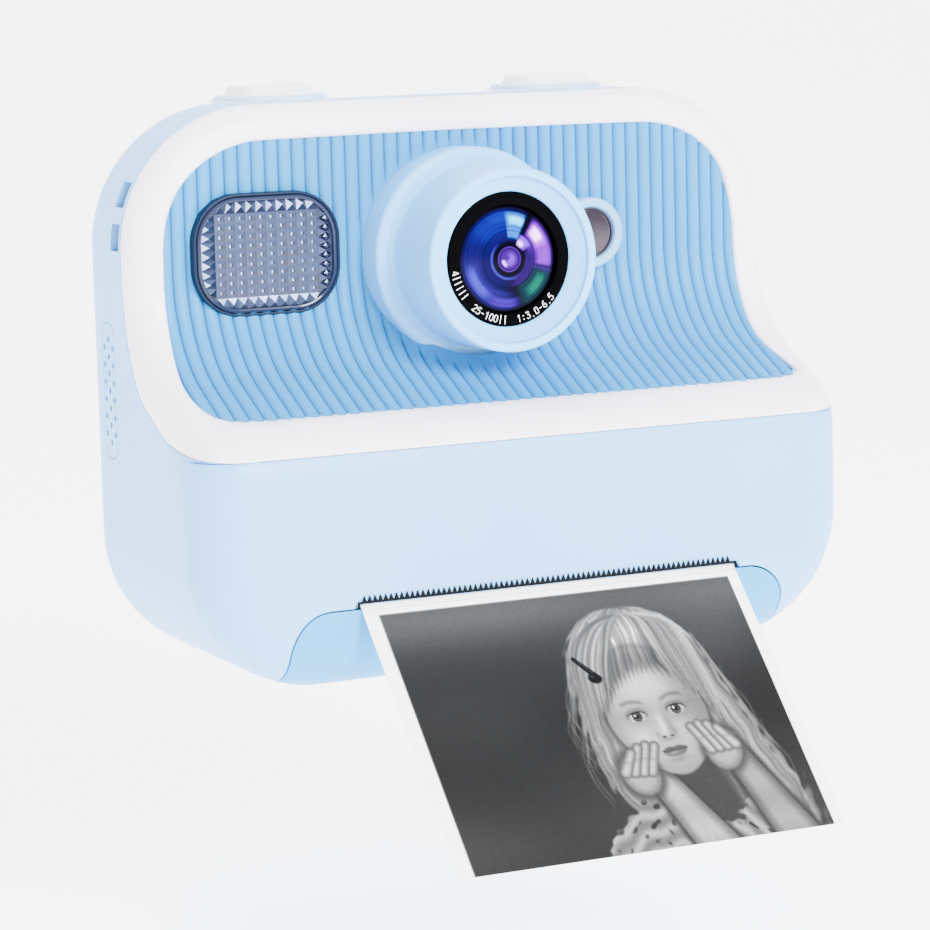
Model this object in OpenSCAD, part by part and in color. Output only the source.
// Kids digital camera with instant printing, built as separate pieces.
// Sizes in mm. Origin at the centre of the underside, X right seen from the
// front, Y to the back, Z up. The lens looks along -Y.

/* [Body] */
// overall width of the case
body_w = 98.8; // [90:0.2:110]
// height of the case without the buttons
body_h = 77.4; // [70:0.2:90]
// depth of the case at the chin
body_d = 47; // [42:0.5:56]
// corner radius at the top of the outline
top_r = 19.5; // [12:0.5:22]
// corner radius at the bottom of the outline
bot_r = 18; // [12:0.5:22]
// wall thickness
wall = 2; // [1.5:0.1:3]

/* [Front] */
// height where the chin starts to curve back
chin_z = 28; // [22:0.5:34]
// how far the panel lies behind the chin front
panel_y = 24.3; // [18:0.1:28]
// slope of the ramp between chin and panel, degrees
ramp = 27; // [15:1:45]
// depth of the trim ring and panel
skin = 3.2; // [2:0.1:4]
// pitch of the panel ribs
rib_pitch = 2; // [1.6:0.1:3]

/* [Lens] */
// height of the lens axis
lens_z = 55.5; // [45:0.5:60]
// front plane of the barrel, from the chin front
lens_y = 7.2; // [4:0.1:16]
// outer radius of the barrel
barrel_r = 12.7; // [10:0.1:15]
// outer radius of the base ring
base_r = 15; // [13:0.1:18]

/* [Printer] */
// width of the paper
paper_w = 57; // [40:1:57]
// length of the print outside the slot
print_l = 41.4; // [20:0.2:80]
// angle of the print below level, degrees
print_a = 46.6; // [20:0.2:70]
// thickness of the paper as modelled
paper_t = 0.16; // [0.1:0.02:0.3]
// radius of the full paper roll
roll_r = 12.5; // [8:0.5:12.5]
// radius of the rubber roller
platen_r = 4; // [3:0.25:5]
// gear tooth size (module)
gear_m = 0.6; // [0.5:0.05:0.8]

/* [Hidden] */
$fn = 64;
chin_r = 8;
well_r = 16;
well_y = panel_y - well_r;
ny = -sin(ramp);
nz = cos(ramp);
well_z = 55.1;
cut_gap = 0.2;
flash_x = -29.7;
flash_z = 57.1;
mirror_x = 20.1;
mirror_z = 57.2;
btn_x = [-22.7, 20.8];
btn_y = 38;
paper_x = 0.9;
door_w = 37.3;
door_top = 10.9;
door_hy = 31;
door_hz = 3;
nip_y = 6.2;
nip_z = 17.9;
plat_y = nip_y + platen_r * sin(print_a) + 0.02;
plat_z = nip_z - platen_r * cos(print_a) - 0.02;
roll_y = 27;
roll_z = 15.5;
idl_a = 38.2;
teeth_p = 18;
teeth_i = 36;
teeth_m = 10;
idl_y = plat_y + gear_m * (teeth_p + teeth_i) / 2 * cos(idl_a);
idl_z = plat_z + gear_m * (teeth_p + teeth_i) / 2 * sin(idl_a);
mot_y = idl_y + gear_m * (teeth_m + teeth_i) / 2 * cos(idl_a);
mot_z = idl_z + gear_m * (teeth_m + teeth_i) / 2 * sin(idl_a);
screw_xz = [[-41, 20], [41, 20], [-41, 58], [41, 58]];
key_xz = [[-28, 17], [-14, 17], [0, 17], [14, 17], [28, 17]];

// ---------- shared shapes, drawn with y = 0 at the chin front ----------
module seat() { translate([0, -body_d / 2, 0]) children(); }

// extrude an X-Z drawing along Y from y0 to y1
module along_y(y0, y1) {
  translate([0, y1, 0]) rotate([90, 0, 0]) linear_extrude(height = y1 - y0) children();
}

// extrude a Y-Z drawing along X, centred
module along_x(w) {
  translate([-w / 2, 0, 0]) rotate([90, 0, 90]) linear_extrude(height = w) children();
}

// turn an (r, depth) drawing about an axis along Y at x, z; depth runs back from y
module turned(x, y, z) {
  translate([x, y, z]) rotate([-90, 0, 0]) rotate_extrude() children();
}

// cylinder along Y from y0 to y1
module rod_y(x, z, r, y0, y1) {
  translate([x, y0, z]) rotate([-90, 0, 0]) cylinder(r = r, h = y1 - y0);
}

// cylinder along X from x0 to x1
module rod_x(y, z, r, x0, x1) {
  translate([x0, y, z]) rotate([0, 90, 0]) cylinder(r = r, h = x1 - x0);
}

module block(x0, x1, y0, y1, z0, z1) {
  translate([x0, y0, z0]) cube([x1 - x0, y1 - y0, z1 - z0]);
}

// rounded rectangle with four radii the same, centred
module rrect(w, h, r) {
  union() {
    square([w - 2 * r, h], center = true);
    square([w, h - 2 * r], center = true);
    for (x = [-1, 1], y = [-1, 1]) translate([x * (w / 2 - r), y * (h / 2 - r)]) circle(r);
  }
}

// X-Z outline of the case, inset by t
module outline(t) {
  wt = body_w / 2 - top_r;
  wb = body_w / 2 - bot_r;
  union() {
    translate([-wt, t]) square([2 * wt, body_h - 2 * t]);
    translate([-wb, t]) square([2 * wb, body_h / 2]);
    translate([-body_w / 2 + t, bot_r]) square([body_w - 2 * t, body_h - bot_r - top_r]);
    for (s = [-1, 1]) {
      translate([s * wt, body_h - top_r]) circle(top_r - t);
      translate([s * wb, bot_r]) circle(bot_r - t);
    }
  }
}

// X-Y plan of the case, inset by t
module plan(t) {
  rf = 8;
  rb = 9;
  wf = body_w / 2 - rf;
  wb = body_w / 2 - rb;
  union() {
    translate([-wf, t]) square([2 * wf, body_d / 2]);
    translate([-wb, body_d / 2 - 2]) square([2 * wb, body_d / 2 + 2 - t]);
    translate([-body_w / 2 + t, rf]) square([body_w - 2 * t, body_d - rf - rb]);
    for (s = [-1, 1]) {
      translate([s * wf, rf]) circle(rf - t);
      translate([s * wb, body_d - rb]) circle(rb - t);
    }
  }
}

// Y-Z region behind the front surface: tf inset of ramp and panel, tc of the chin
module face(tf, tc) {
  ay = chin_r + (chin_r - tf) * ny;
  az = chin_z + (chin_r - tf) * nz;
  py = well_y - (well_r + tf) * ny;
  pz = well_z - (well_r + tf) * nz;
  vy = panel_y + tf;
  union() {
    translate([vy, -5]) square([60, 95]);
    translate([tc, -5]) square([60, chin_z + 5]);
    translate([chin_r, chin_z]) circle(chin_r - tf);
    polygon([[chin_r, chin_z - 3], [chin_r, chin_z], [ay, az], [py, pz],
      [vy + 1, pz + (vy + 1 - py) * tan(ramp)], [vy + 1, chin_z - 3]]);
    difference() {
      polygon([[py, pz], [vy, well_z], [vy + 1, well_z], [vy + 1, pz - 1], [py, pz - 1]]);
      translate([well_y, well_z]) circle(well_r + tf, $fn = 128);
    }
  }
}

// Y-Z bounds of the case with rounded lower and rear edges, inset by t
module bounds_yz(t) {
  rf = 9;
  rb = 9;
  union() {
    translate([t, rf]) square([body_d - 2 * t, body_h - rf - rb]);
    translate([rf, t]) square([body_d - rf - rb, body_h - 2 * t]);
    translate([t, body_h / 2]) square([body_d / 2, body_h / 2 - t]);
    translate([rf, rf]) circle(rf - t);
    translate([body_d - rb, rb]) circle(rb - t);
    translate([body_d - rb, body_h - rb]) circle(rb - t);
  }
}

// the case as a solid, inset by t and by tf, tc at the front
module solid_case(t, tf, tc) {
  intersection() {
    along_y(-1, body_d + 1) outline(t);
    along_x(body_w + 2) intersection() { face(tf, tc); bounds_yz(t); }
    translate([0, 0, -1]) linear_extrude(height = body_h + 2) plan(t);
  }
}

// half plane above the lower edge of the trim ring, lowered by g
module above_band(g) {
  polygon([[chin_r, chin_z - g], [chin_r - 14, chin_z + 7.4 - g], [-6, 95], [60, 95], [60, chin_z - g]]);
}

// X-Z opening of the trim ring, grown by g
module window(g) {
  w = 44.6 + g;
  z0 = 36.3 - g;
  z1 = 72.3 + g;
  rt = 15.5 + g;
  rb = 5 + g;
  union() {
    translate([-w + rt, z0]) square([2 * (w - rt), z1 - z0]);
    translate([-w + rb, z0]) square([2 * (w - rb), 12]);
    translate([-w, z0 + rb]) square([2 * w, z1 - z0 - rb - rt]);
    for (s = [-1, 1]) {
      translate([s * (w - rt), z1 - rt]) circle(rt);
      translate([s * (w - rb), z0 + rb]) circle(rb);
    }
  }
}

// the paper's own line: x across, y along the line back and up, z above the paper
module on_paper() {
  translate([0, nip_y, nip_z]) rotate([print_a, 0, 0]) children();
}

module gear2d(n, turn) {
  r = gear_m * n / 2;
  p = 360 / n;
  ro = r + 0.75 * gear_m;
  ri = r - 1.05 * gear_m;
  polygon([for (i = [0 : n - 1]) for (q = [[-0.36, ri], [-0.12, ro], [0.12, ro], [0.36, ri]])
    [q[1] * cos(p * (i + q[0]) + turn), q[1] * sin(p * (i + q[0]) + turn)]]);
}

// gear on an axis along X, seen from the right
module gear(n, turn, y, z, x0, x1, bore) {
  difference() {
    translate([x0, y, z]) rotate([90, 0, 90]) linear_extrude(height = x1 - x0) gear2d(n, turn);
    rod_x(y, z, bore, x0 - 1, x1 + 1);
  }
}

// ---------- case ----------
module door_cut(g) {
  intersection() {
    along_y(-2, door_hy + 3.2 + g) union() {
      translate([-door_w - g, -2]) square([2 * (door_w + g), door_top - 3.5]);
      translate([-door_w + 5.5, -2]) square([2 * (door_w - 5.5), door_top + 2 + g]);
      for (s = [-1, 1]) translate([s * (door_w - 5.5), door_top - 5.5]) circle(5.5 + g);
    }
    union() {
      block(-50, 50, -2, 4.2, -2, 20);
      block(-50, 50, -2, 60, -2, 4.2);
    }
  }
}

module grille() {
  for (c = [-1 : 1], i = [0 : c == 0 ? 6 : 5])
    rod_x(34.4 + c * 1.6, (c == 0 ? 31.4 : 32.6) + i * 2.4, 0.45, -body_w / 2 - 1, -body_w / 2 + wall + 0.6);
  translate([-body_w / 2, 0, 0]) along_x(0.5) translate([34.4, 38.6]) difference() {
    rrect(4.9, 19.1, 2.4);
    rrect(4.6, 18.8, 2.25);
  }
}

module front_shell() color("#b9dcf2") seat() difference() {
  union() {
    difference() {
      solid_case(0, 0, 0);
      solid_case(wall, skin + 0.2 + 1.8, wall);
      along_x(body_w + 4) difference() { above_band(0.15); face(skin + 0.2, -3); }
    }
    intersection() {
      solid_case(wall / 2, skin + 0.2, 0.5);
      union() {
        rod_y(0, lens_z, base_r + 2, 8, 28.8);
        for (p = screw_xz) rod_y(p[0], p[1], 3, 1, 44.6);
        for (s = [-1, 1]) block(s * 39.4 - 1.5, s * 39.4 + 1.5, door_hy - 3, door_hy + 3, 1, 7);
        for (x = btn_x) block(x - 5.2, x + 5.2, btn_y - 3.4, btn_y + 3.4, 73.6, body_h - 1);
      }
    }
  }
  rod_y(0, lens_z, base_r + 0.2, -2, 26.9);
  rod_y(0, lens_z, 12.2, 20, 32);
  along_y(20, 32) translate([flash_x, flash_z]) rrect(18.6, 13.6, 4);
  along_y(20, 27.3) translate([flash_x, flash_z]) rrect(21.4, 16.6, 6.4);
  rod_y(mirror_x, mirror_z, 2.1, 20, 32);
  along_y(body_d - wall - 1, body_d + 2) outline(4.3);
  door_cut(0.3);
  rod_x(door_hy, door_hz, 3.3, -door_w - 0.3, door_w + 0.3);
  for (s = [-1, 1]) rod_x(door_hy, door_hz, 1.05, s * 39.4 - 2, s * 39.4 + 2);
  on_paper() block(-28.4, 30.3, -12, -4.5, -0.45, 0.2);
  for (x = btn_x) block(x - 4.25, x + 4.25, btn_y - 2.45, btn_y + 2.45, 70, 80);
  for (p = screw_xz) rod_y(p[0], p[1], 1.05, 30, 46);
  // strap holes with a bar between them
  translate([-body_w / 2 + 1.4, 30.6, 65.9]) rotate([0, 18, 0]) cube([8, 3.2, 3.7], center = true);
  translate([-body_w / 2, 30.4, 60]) cube([8, 3.2, 3.7], center = true);
  grille();
  block(45, 52, 30, 39.2, 24, 27.4);
  block(45, 52, 28.4, 40.2, 35.2, 36.6);
}

module rear_cover() color("#b9dcf2") seat() difference() {
  intersection() {
    solid_case(0, 0, 0);
    along_y(body_d - wall, body_d + 1) outline(4.5);
  }
  along_y(40, 50) translate([0, 50]) rrect(53, 40, 3);
  for (p = key_xz) rod_y(p[0], p[1], 4.3, 40, 50);
  for (p = screw_xz) {
    rod_y(p[0], p[1], 1.4, 40, 50);
    rod_y(p[0], p[1], 2.3, body_d - 1.2, 50);
  }
}

module trim_ring() color("#f4f3ef") seat() difference() {
  solid_case(0, 0, 0);
  along_x(body_w + 4) face(skin, skin);
  along_x(body_w + 4) polygon([[chin_r, chin_z], [chin_r - 14, chin_z + 7.4], [-6, -5], [60, -5], [60, chin_z]]);
  along_y(-3, 60) window(0);
}

module ribbed_panel() color("#5aaee8") seat() difference() {
  intersection() {
    along_y(-3, 60) window(-0.1);
    union() {
      along_x(92) difference() { face(0.75, 0.75); face(skin, -3); }
      for (i = [-22 : 22]) translate([i * rib_pitch, 0, 0])
        along_x(rib_pitch * 0.72) difference() { face(0.2, 0.2); face(1.6, -3); }
    }
  }
  rod_y(0, lens_z, base_r + 0.1, -3, 40);
  along_y(5, 40) translate([flash_x, flash_z]) rrect(21.1, 16.3, 6.3);
  rod_y(mirror_x, mirror_z, 5.2, 5, 40);
}

// ---------- lens ----------
module lens_base() color("#b9dcf2") seat() turned(0, 0, lens_z) union() {
  translate([12.85, 20.9]) square([2.15, 5.9]);
  translate([12.85, 19.7]) square([0.95, 2]);
  intersection() {
    translate([13.8, 20.9]) circle(1.2);
    translate([12.85, 19]) square([4, 4]);
  }
}

module lens_barrel() color("#b9dcf2") seat() turned(0, 0, lens_z) union() {
  translate([11.5, lens_y + 0.6]) square([1.2, 18.3]);
  translate([12.1, lens_y + 0.6]) circle(0.6);
  translate([9.6, 11.8]) square([2.5, 1.2]);
  translate([11.5, 24.6]) square([0.6, 4.2]);
}

module lens_ridge_ring() color("#b9dcf2") seat() turned(0, 0, lens_z) difference() {
  polygon([[11.4, 7.8], [11.4, 11.6], [9.3, 11.6], [9.3, 9.3]]);
  for (i = [0 : 6]) translate([11.2 - i * 0.27, 7.9 + i * 0.193]) circle(0.1, $fn = 16);
}

module lens_black_ring() color("#101114") seat() turned(0, 0, lens_z) union() {
  translate([7.45, 8.9]) square([1.7, 1.7]);
  translate([7.45, 10.4]) square([0.8, 2.4]);
}

module lens_front_glass() color("#223044", 0.45) seat() turned(0, 0, lens_z) intersection() {
  translate([0, 8.8]) square([7.35, 1.6]);
  translate([0, 44.8]) circle(36, $fn = 128);
}

module lens_stage() color("#141519") seat() turned(0, 0, lens_z) difference() {
  translate([0, 11.6]) square([7.3, 5.4]);
  translate([0, 11]) square([5.8, 2.2]);
  translate([0, 12]) square([4.5, 2.6]);
  translate([0, 12]) square([2.2, 6]);
}

module lens_rear_element() color("#5a4a9a", 0.6) seat() turned(0, 0, lens_z) intersection() {
  translate([0, 13.4]) square([4.3, 1.1]);
  translate([0, 21.4]) circle(8, $fn = 240);
}

module lens_iris() color("#1a1a1c") seat() turned(0, 0, lens_z) {
  translate([1.2, 17.2]) square([9.8, 0.6]);
}

module sensor_module() color("#1d5c3a") seat() union() {
  block(-12, 12, 29.8, 31, lens_z - 11, lens_z + 11);
  block(-5, 5, 26.2, 29.8, lens_z - 5, lens_z + 5);
  rod_y(0, lens_z, 4, 18.2, 26.4);
}

// ---------- flash and mirror ----------
module flash_window() color("#7d93ad", 0.6) seat() translate([flash_x, 0, flash_z])
  difference() {
    along_y(23, 25.8) rrect(20.8, 16, 6.2);
    intersection() {
      along_y(20, 25) rrect(18.8, 14, 5.2);
      union() {
        for (i = [-5 : 5]) translate([i * 1.75, 23, 0]) rotate([0, 0, 45])
          cube([0.62, 0.62, 30], center = true);
        for (i = [-4 : 4]) translate([0, 23, i * 1.75]) rotate([45, 0, 0])
          cube([30, 0.62, 0.62], center = true);
      }
    }
  }

module flash_reflector() color("#d8dce0") seat() translate([flash_x, 0, flash_z]) difference() {
  along_y(26.1, 30.6) rrect(18, 13, 3.6);
  along_y(25, 29.6) rrect(15.8, 10.8, 2.8);
}

module flash_led() color("#f2e38a") seat() union() {
  block(flash_x - 2.5, flash_x + 2.5, 28.5, 29.4, flash_z - 2.5, flash_z + 2.5);
  rod_y(flash_x, flash_z, 1.7, 28.1, 28.6);
}

module mirror_bezel() color("#5aaee8") seat() turned(mirror_x, 0, mirror_z) union() {
  translate([3.65, 23.5]) square([1.45, 2.5]);
  translate([4.4, 23.5]) circle(0.7);
  translate([0, 24.4]) square([4, 1.6]);
  translate([0, 25.8]) square([1.9, 3.4]);
}

module mirror_disc() color("#c9b8bf") seat() rod_y(mirror_x, mirror_z, 3.45, 23.3, 24.3);

// ---------- top buttons ----------
// pad with sloped sides, base w by d at z0, top smaller by c all round at z1
module pad(x, w, d, r, c, z0, z1) {
  s = c / (z1 - z0);
  translate([x, btn_y, 0]) intersection() {
    translate([0, 0, z0 - 0.4]) linear_extrude(height = z1 - z0 + 0.4) rrect(w, d, r);
    along_y(-20, 20) polygon([[-w / 2, z0 - 1], [-w / 2, z0], [-w / 2 + c, z1], [w / 2 - c, z1],
      [w / 2, z0], [w / 2, z0 - 1]]);
    along_x(60) polygon([[-d / 2, z0 - 1], [-d / 2, z0], [-d / 2 + c, z1], [d / 2 - c, z1],
      [d / 2, z0], [d / 2, z0 - 1]]);
  }
}

module button_bezels() color("#a9d2ee") seat() difference() {
  for (x = btn_x) pad(x, 17, 13.4, 5, 1.5, body_h + 0.02, body_h + 0.85);
  for (x = btn_x) translate([x, btn_y, body_h - 2]) linear_extrude(height = 8) rrect(13.4, 9.4, 3.7);
  translate([0, 0, -0.38]) block(-60, 60, 0, 60, body_h - 5, body_h + 0.4);
}

module button(x) seat() union() {
  pad(x, 13, 9, 3.5, 1, body_h + 1.25, body_h + 2.25);
  translate([x, btn_y, body_h + 0.75]) linear_extrude(height = 0.52) rrect(13, 9, 3.5);
  block(x - 4, x + 4, btn_y - 2.2, btn_y + 2.2, 72.6, body_h + 1);
  block(x - 5, x + 5, btn_y - 2.2, btn_y + 2.2, 71.9, 72.7);
}

module button_left() color("#f7f6f2") button(btn_x[0]);
module button_right() color("#f7f6f2") button(btn_x[1]);

module top_switches() color("#2b2d33") seat() for (x = btn_x) union() {
  block(x - 7, x + 7, btn_y - 4, btn_y + 2.2, 67.2, 68.4);
  block(x - 3, x + 3, btn_y - 3, btn_y + 2, 68.4, 70.4);
  translate([x, btn_y, 70.4]) cylinder(r = 1.5, h = 0.6);
}

// ---------- print exit and door ----------
module cutter_blade() color("#17181a") seat() union() {
  n = 72;
  p = 0.782;
  along_y(-0.3, 0) polygon(concat([[-28.05, 11.1]], [[-28.05, 12.02]],
    [for (i = [0 : n - 1]) for (q = [0.12, 0.5, 0.88]) [-27.5 + (i + q) * p, q == 0.5 ? 12.8 : 12.02]],
    [[29.8, 12.02], [29.8, 11.1], [29.55, 11.1], [29.55, 11.74], [-27.8, 11.74], [-27.8, 11.1]]));
}

module paper_door() color("#6db3e6") seat() difference() {
  union() {
    intersection() {
      difference() { solid_case(0, 0, 0); solid_case(1.8, 1.8, 1.8); }
      door_cut(0);
      block(-60, 60, -1, door_hy + 2, -1, 20);
    }
    difference() {
      intersection() { door_cut(0); solid_case(0, 0, 0); block(-60, 60, 8, door_hy + 2, -1, 1.8); }
      block(-60, 60, -1, 8, -1, -0.5);
    }
    for (s = [-1, 1]) {
      rod_x(door_hy, door_hz, 2.5, s * 34.2 - 2.6, s * 34.2 + 2.6);
      rod_x(door_hy, door_hz, 0.98, s * 38.3 - 2, s * 38.3 + 2);
    }
    block(-10, 10, 1.6, 3.2, 8.6, 10.2);
  }
  for (i = [-4 : 4]) block(i * 1.6 - 0.35, i * 1.6 + 0.35, 9.5, 15, -0.5, 0.5);
  block(-31.2, 31.2, door_hy - 1.4, 60, -1, 12);
}

// ---------- printer ----------
module printer_chassis() color("#3b3f45") seat() difference() {
  union() {
    for (s = [-1, 1]) {
      translate([s * 31.6, 0, 0]) along_x(1.6)
        polygon([[3, 8], [3, 26], [22, 36], [40.2, 36], [40.2, 8]]);
      rod_x(roll_y, roll_z, 5.9, s < 0 ? -32 : 26, s < 0 ? -26 : 32);
    }
    block(-32.4, 32.4, 3, 4.6, 21.4, 25.6);
    block(-32.4, 32.4, 39, 40.2, 29, 36);
  }
  rod_x(plat_y, plat_z, 1.55, -40, 40);
  rod_x(mot_y, mot_z, 1.6, 20, 40);
  rod_x(roll_y, roll_z, 3, -40, 40);
  for (s = [-1, 1]) on_paper() block(s * 31.6 - 2, s * 31.6 + 2, -14, -3, -3, 6);
  block(-40, 40, 2, 5.4, 7, 21);
  rod_x(idl_y, idl_z, 1.5, 25, 40);
}

module print_head() color("#8d9299") on_seat_paper() union() {
  block(-29, 29, -2.6, 7, 0.5, 1.9);
  block(-28.5, 28.5, -0.9, 0.9, paper_t / 2 + 0.04, 0.6);
}

module on_seat_paper() { seat() on_paper() children(); }

module head_spring() color("#c4c8cc") on_seat_paper() union() {
  for (s = [-1, 1]) {
    block(s * 14 - 3, s * 14 + 3, 0, 6, 2.4, 2.7);
    block(s * 14 - 3, s * 14 + 3, 0, 0.5, 1.9, 2.5);
  }
}

module step_motor() color("#b5bac0") seat() union() {
  rod_x(mot_y, mot_z, 6, 10, 30.6);
  rod_x(mot_y, mot_z, 1.5, 30.4, 33);
  rod_x(mot_y, mot_z, 0.9, 32.9, 37.4);
  rod_x(idl_y, idl_z, 1.45, 30.85, 37.2);
}

module motor_pinion() color("#e8e2d0") seat()
  gear(teeth_m, idl_a + 180, mot_y, mot_z, 33.4, 36.8, 0.95);

module idler_gear() color("#e8e2d0") seat()
  gear(teeth_i, idl_a + 180 / teeth_i, idl_y, idl_z, 33.5, 36.5, 1.5);

module platen_roller() color("#26282b") seat() difference() {
  rod_x(plat_y, plat_z, platen_r - 0.1, -28.8, 28.8);
  rod_x(plat_y, plat_z, 2, -30, 30);
}

module platen_shaft() color("#c4c8cc") seat() union() {
  rod_x(plat_y, plat_z, 1.98, -29.2, 29.2);
  rod_x(plat_y, plat_z, 1.5, -33.4, 37.2);
}

module platen_gear() color("#e8e2d0") seat()
  gear(teeth_p, idl_a, plat_y, plat_z, 33.4, 36.8, 1.52);

module paper_core() color("#c9b48c") translate([paper_x, 0, 0]) seat() difference() {
  rod_x(roll_y, roll_z, 7, -28.4, 28.4);
  rod_x(roll_y, roll_z, 5.97, -30, 30);
}

module paper_roll() color("#f5f4f0") translate([paper_x, 0, 0]) seat() difference() {
  rod_x(roll_y, roll_z, roll_r - 0.1, -28.5, 28.5);
  rod_x(roll_y, roll_z, 7.02, -30, 30);
}

module paper_web() color("#f5f4f0") translate([paper_x, 0, 0]) seat() {
  gap = [roll_y - plat_y, roll_z - plat_z];
  f = asin((roll_r - platen_r) / norm(gap)) + atan2(gap[1], gap[0]);
  b = [plat_y - (platen_r + 0.1) * sin(f), plat_z + (platen_r + 0.1) * cos(f)];
  l = gap[0] * cos(f) + gap[1] * sin(f);
  translate([0, b[0], b[1]]) rotate([f, 0, 0]) block(-28.5, 28.5, 0.9, l, 0, paper_t);
}

module print_stem() color("#f5f4f0") translate([paper_x, 0, 0]) on_seat_paper()
  block(-paper_w / 2, paper_w / 2, -9.74, 0, -paper_t / 2, paper_t / 2);

module print() color("#e6e5e2") translate([paper_x, 0, 0]) on_seat_paper() union() {
  block(-paper_w / 2, paper_w / 2, -9.85 - print_l, -9.85, -paper_t / 2, paper_t / 2);
  translate([-paper_w / 2, -9.85, 0]) rotate([0, 90, 0]) cylinder(r = paper_t / 2, h = paper_w);
}

// ---------- rear ----------
module lcd_module() color("#202226") seat() union() {
  block(-27.5, 27.5, 40.6, 43.6, 27.5, 69);
  block(-24.5, 24.5, 43.6, 43.9, 31.5, 68);
}

module screen_window() color("#0c0d10", 0.8) seat()
  along_y(44.2, 46.4) translate([0, 50]) rrect(52.6, 39.6, 2.8);

module key_board() color("#1d5c3a") seat() union() {
  block(-33, 33, 40.8, 42, 12, 22);
  for (p = key_xz) rod_y(p[0], p[1], 2, 42, 42.8);
}

module key(p, r) seat() union() {
  rod_y(p[0], p[1], r, 43.9, body_d + 0.7);
  rod_y(p[0], p[1], r + 0.9, 43.9, 44.7);
}

module key_menu() color("#f7f6f2") key(key_xz[0], 4);
module key_left() color("#f7f6f2") key(key_xz[1], 4);
module key_ok() color("#f7f6f2") key(key_xz[2], 4);
module key_right() color("#f7f6f2") key(key_xz[3], 4);
module key_play() color("#f7f6f2") key(key_xz[4], 4);

module main_board() color("#1d5c3a") seat() difference() {
  union() {
    block(-36, 36, 31.4, 32.8, 43, 66.4);
    block(-20, -10, 32.8, 34.2, 48, 58);
    block(4, 18, 32.8, 33.9, 46, 54);
  }
  for (p = [[-33, 46], [33, 46]]) rod_y(p[0], p[1], 1.2, 30, 35);
}

module battery() color("#5f7fb8") seat() block(-26, 24, 34.8, 39.8, 40.4, 66.4);

module speaker() color("#2b2d33") seat() union() {
  translate([-46.6, 34.4, 38.5]) rotate([0, 90, 0]) cylinder(r = 7.5, h = 3);
  translate([-43.8, 34.4, 38.5]) rotate([0, 90, 0]) cylinder(r = 4, h = 2);
}

module usb_port() color("#b5bac0") seat() difference() {
  block(41, 48.6, 30.2, 39, 24.2, 27.2);
  block(43, 50, 30.6, 38.6, 24.6, 26.8);
}

module card_socket() color("#b5bac0") seat() difference() {
  block(38.5, 46.8, 27.6, 41, 34.6, 37.2);
  block(39.5, 50, 28.6, 40, 35.3, 36.5);
}

module case_screws() color("#a9adb2") seat() for (p = screw_xz) difference() {
  union() {
    rod_y(p[0], p[1], 0.98, 34, 46);
    rod_y(p[0], p[1], 2, 45.9, 46.8);
  }
  for (a = [0, 90]) translate([p[0], 46.8, p[1]]) rotate([0, a, 0]) cube([2.4, 0.9, 0.5], center = true);
}

front_shell();
rear_cover();
trim_ring();
ribbed_panel();
lens_base();
lens_barrel();
lens_ridge_ring();
lens_black_ring();
lens_front_glass();
lens_stage();
lens_rear_element();
lens_iris();
sensor_module();
flash_window();
flash_reflector();
flash_led();
mirror_bezel();
mirror_disc();
button_bezels();
button_left();
button_right();
top_switches();
cutter_blade();
paper_door();
printer_chassis();
print_head();
head_spring();
step_motor();
motor_pinion();
idler_gear();
platen_roller();
platen_shaft();
platen_gear();
paper_core();
paper_roll();
paper_web();
print_stem();
print();
lcd_module();
screen_window();
key_board();
key_menu();
key_left();
key_ok();
key_right();
key_play();
main_board();
battery();
speaker();
usb_port();
card_socket();
case_screws();
